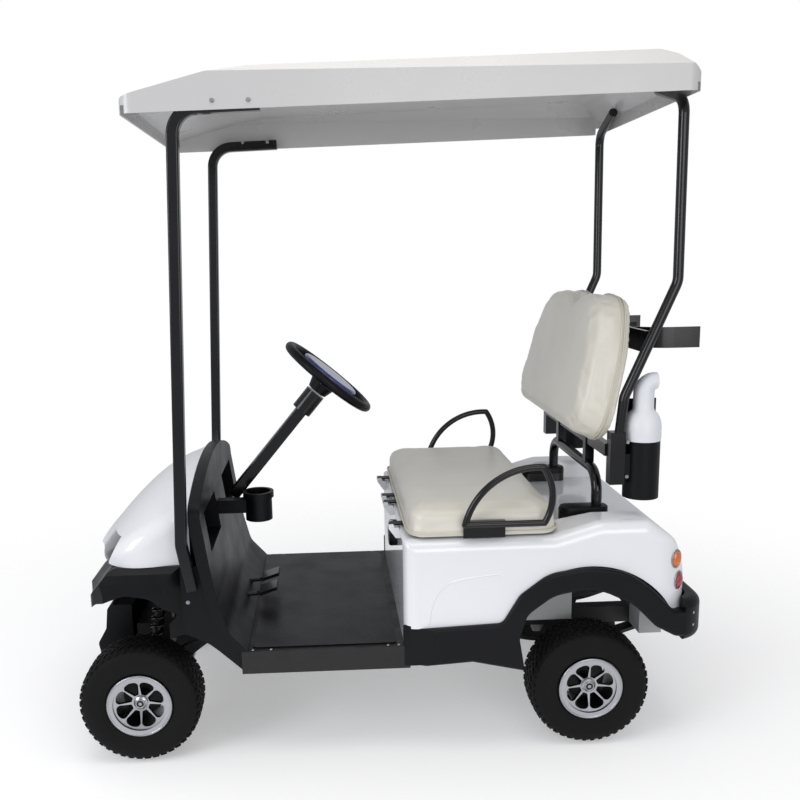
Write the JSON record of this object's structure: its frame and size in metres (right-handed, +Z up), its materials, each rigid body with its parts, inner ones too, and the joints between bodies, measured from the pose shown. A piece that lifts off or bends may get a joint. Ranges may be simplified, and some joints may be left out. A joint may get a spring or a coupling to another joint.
{
  "type": "golf cart",
  "caption": "Compact open golf cart with a long roof on bent posts, bench seat, hinged seat lid, steering, spinning wheels, bag rack and sand bottle holders.",
  "frame": {"origin": "on the ground, in the middle of the overall length and width", "axes": "+X forward, +Y to the left-hand side, +Z up"},
  "size_m": [1.771, 0.86, 1.8468],
  "materials": {
    "alloy": "satin",
    "battery_case": "matte",
    "black_frame": "satin",
    "black_textured": "matte",
    "black_tube": "gloss",
    "blue_gloss": "gloss",
    "cream_vinyl": "satin",
    "lens_clear": "gloss",
    "lens_orange": "gloss",
    "lens_red": "gloss",
    "roof_white": "satin",
    "rubber_mat": "matte",
    "steel": "satin",
    "tyre_rubber": "matte",
    "white_body": "gloss",
    "white_bottle": "satin"
  },
  "bodies": {
    "chassis": {"backrest_board": "black_textured", "backrest_cushion": "cream_vinyl", "bag_rack": "black_tube", "battery_pack": "battery_case", "bottle_holders": "black_textured", "charge_socket": "black_textured", "chassis_frame": "black_frame", "cup_holder": "black_textured", "dash_panel": "black_textured", "floor_mat": "rubber_mat", "floor_pan": "black_textured", "front_axle": "black_frame", "front_bumper": "black_textured", "front_cowl": "white_body", "front_posts": "black_tube", "front_springs": "steel", "front_valance": "black_textured", "headlamps": "lens_clear", "indicator_lamps": "lens_orange", "pedals": "black_tube", "rear_axle": "black_frame", "rear_body": "white_body", "rear_bumper": "black_textured", "rear_fenders": "black_textured", "rear_posts": "black_tube", "rear_springs": "black_frame", "roof": "roof_white", "sand_bottles": "white_bottle", "seat_back_frame": "black_tube", "seat_hinges": "steel", "steering_column": "black_tube", "stop_lamps": "lens_red"},
    "seat_lid": {"seat_board": "black_textured", "seat_cushion": "cream_vinyl", "armrests": "black_tube"},
    "steering_wheel": {"steering_wheel": "black_textured", "steering_pad": "blue_gloss"},
    "knuckle_left": {"knuckle_left": "steel"},
    "knuckle_right": {"knuckle_right": "steel"},
    "tie_rod": {"tie_rod": "steel"},
    "wheel_front_left": {"tyre_front_left": "tyre_rubber", "rim_front_left": "alloy"},
    "wheel_front_right": {"tyre_front_right": "tyre_rubber", "rim_front_right": "alloy"},
    "wheel_rear_left": {"tyre_rear_left": "tyre_rubber", "rim_rear_left": "alloy"},
    "wheel_rear_right": {"tyre_rear_right": "tyre_rubber", "rim_rear_right": "alloy"}
  },
  "joints": [
    {"name": "seat_lid_hinge", "type": "hinge", "parent": "chassis", "child": "seat_lid", "pos_m": [-0.0165, 0, 0.6155], "axis": [0, 1, 0], "range_deg": [0, 70]},
    {"name": "steering_wheel_turn", "type": "hinge", "parent": "chassis", "child": "steering_wheel", "pos_m": [0.1475, 0, 1.006], "axis": [-0.6441, 0, 0.7649], "range_deg": [-270, 270]},
    {"name": "steer_left", "type": "hinge", "parent": "chassis", "child": "knuckle_left", "pos_m": [0.6895, 0.262, 0.169], "axis": [0, 0, 1], "range_deg": [-30, 30]},
    {"name": "steer_right", "type": "hinge", "parent": "chassis", "child": "knuckle_right", "pos_m": [0.6895, -0.262, 0.169], "axis": [0, 0, 1], "range_deg": [-30, 30]},
    {"name": "tie_rod_swing", "type": "hinge", "parent": "knuckle_left", "child": "tie_rod", "pos_m": [0.5995, 0.262, 0.136], "axis": [0, 0, 1], "range_deg": [-30, 30]},
    {"name": "wheel_spin_front_left", "type": "hinge", "parent": "knuckle_left", "child": "wheel_front_left", "pos_m": [0.6895, 0.35, 0.169], "axis": [0, 1, 0], "continuous": true},
    {"name": "wheel_spin_front_right", "type": "hinge", "parent": "knuckle_right", "child": "wheel_front_right", "pos_m": [0.6895, -0.35, 0.169], "axis": [0, 1, 0], "continuous": true},
    {"name": "wheel_spin_rear_left", "type": "hinge", "parent": "chassis", "child": "wheel_rear_left", "pos_m": [-0.5545, 0.35, 0.169], "axis": [0, 1, 0], "continuous": true},
    {"name": "wheel_spin_rear_right", "type": "hinge", "parent": "chassis", "child": "wheel_rear_right", "pos_m": [-0.5545, -0.35, 0.169], "axis": [0, 1, 0], "continuous": true}
  ],
  "couplings": [
    {"joint": "steer_left", "follows": "steering_wheel_turn", "ratio": 0.11111},
    {"joint": "steer_right", "follows": "steering_wheel_turn", "ratio": 0.11111},
    {"joint": "tie_rod_swing", "follows": "steering_wheel_turn", "ratio": -0.11111}
  ]
}
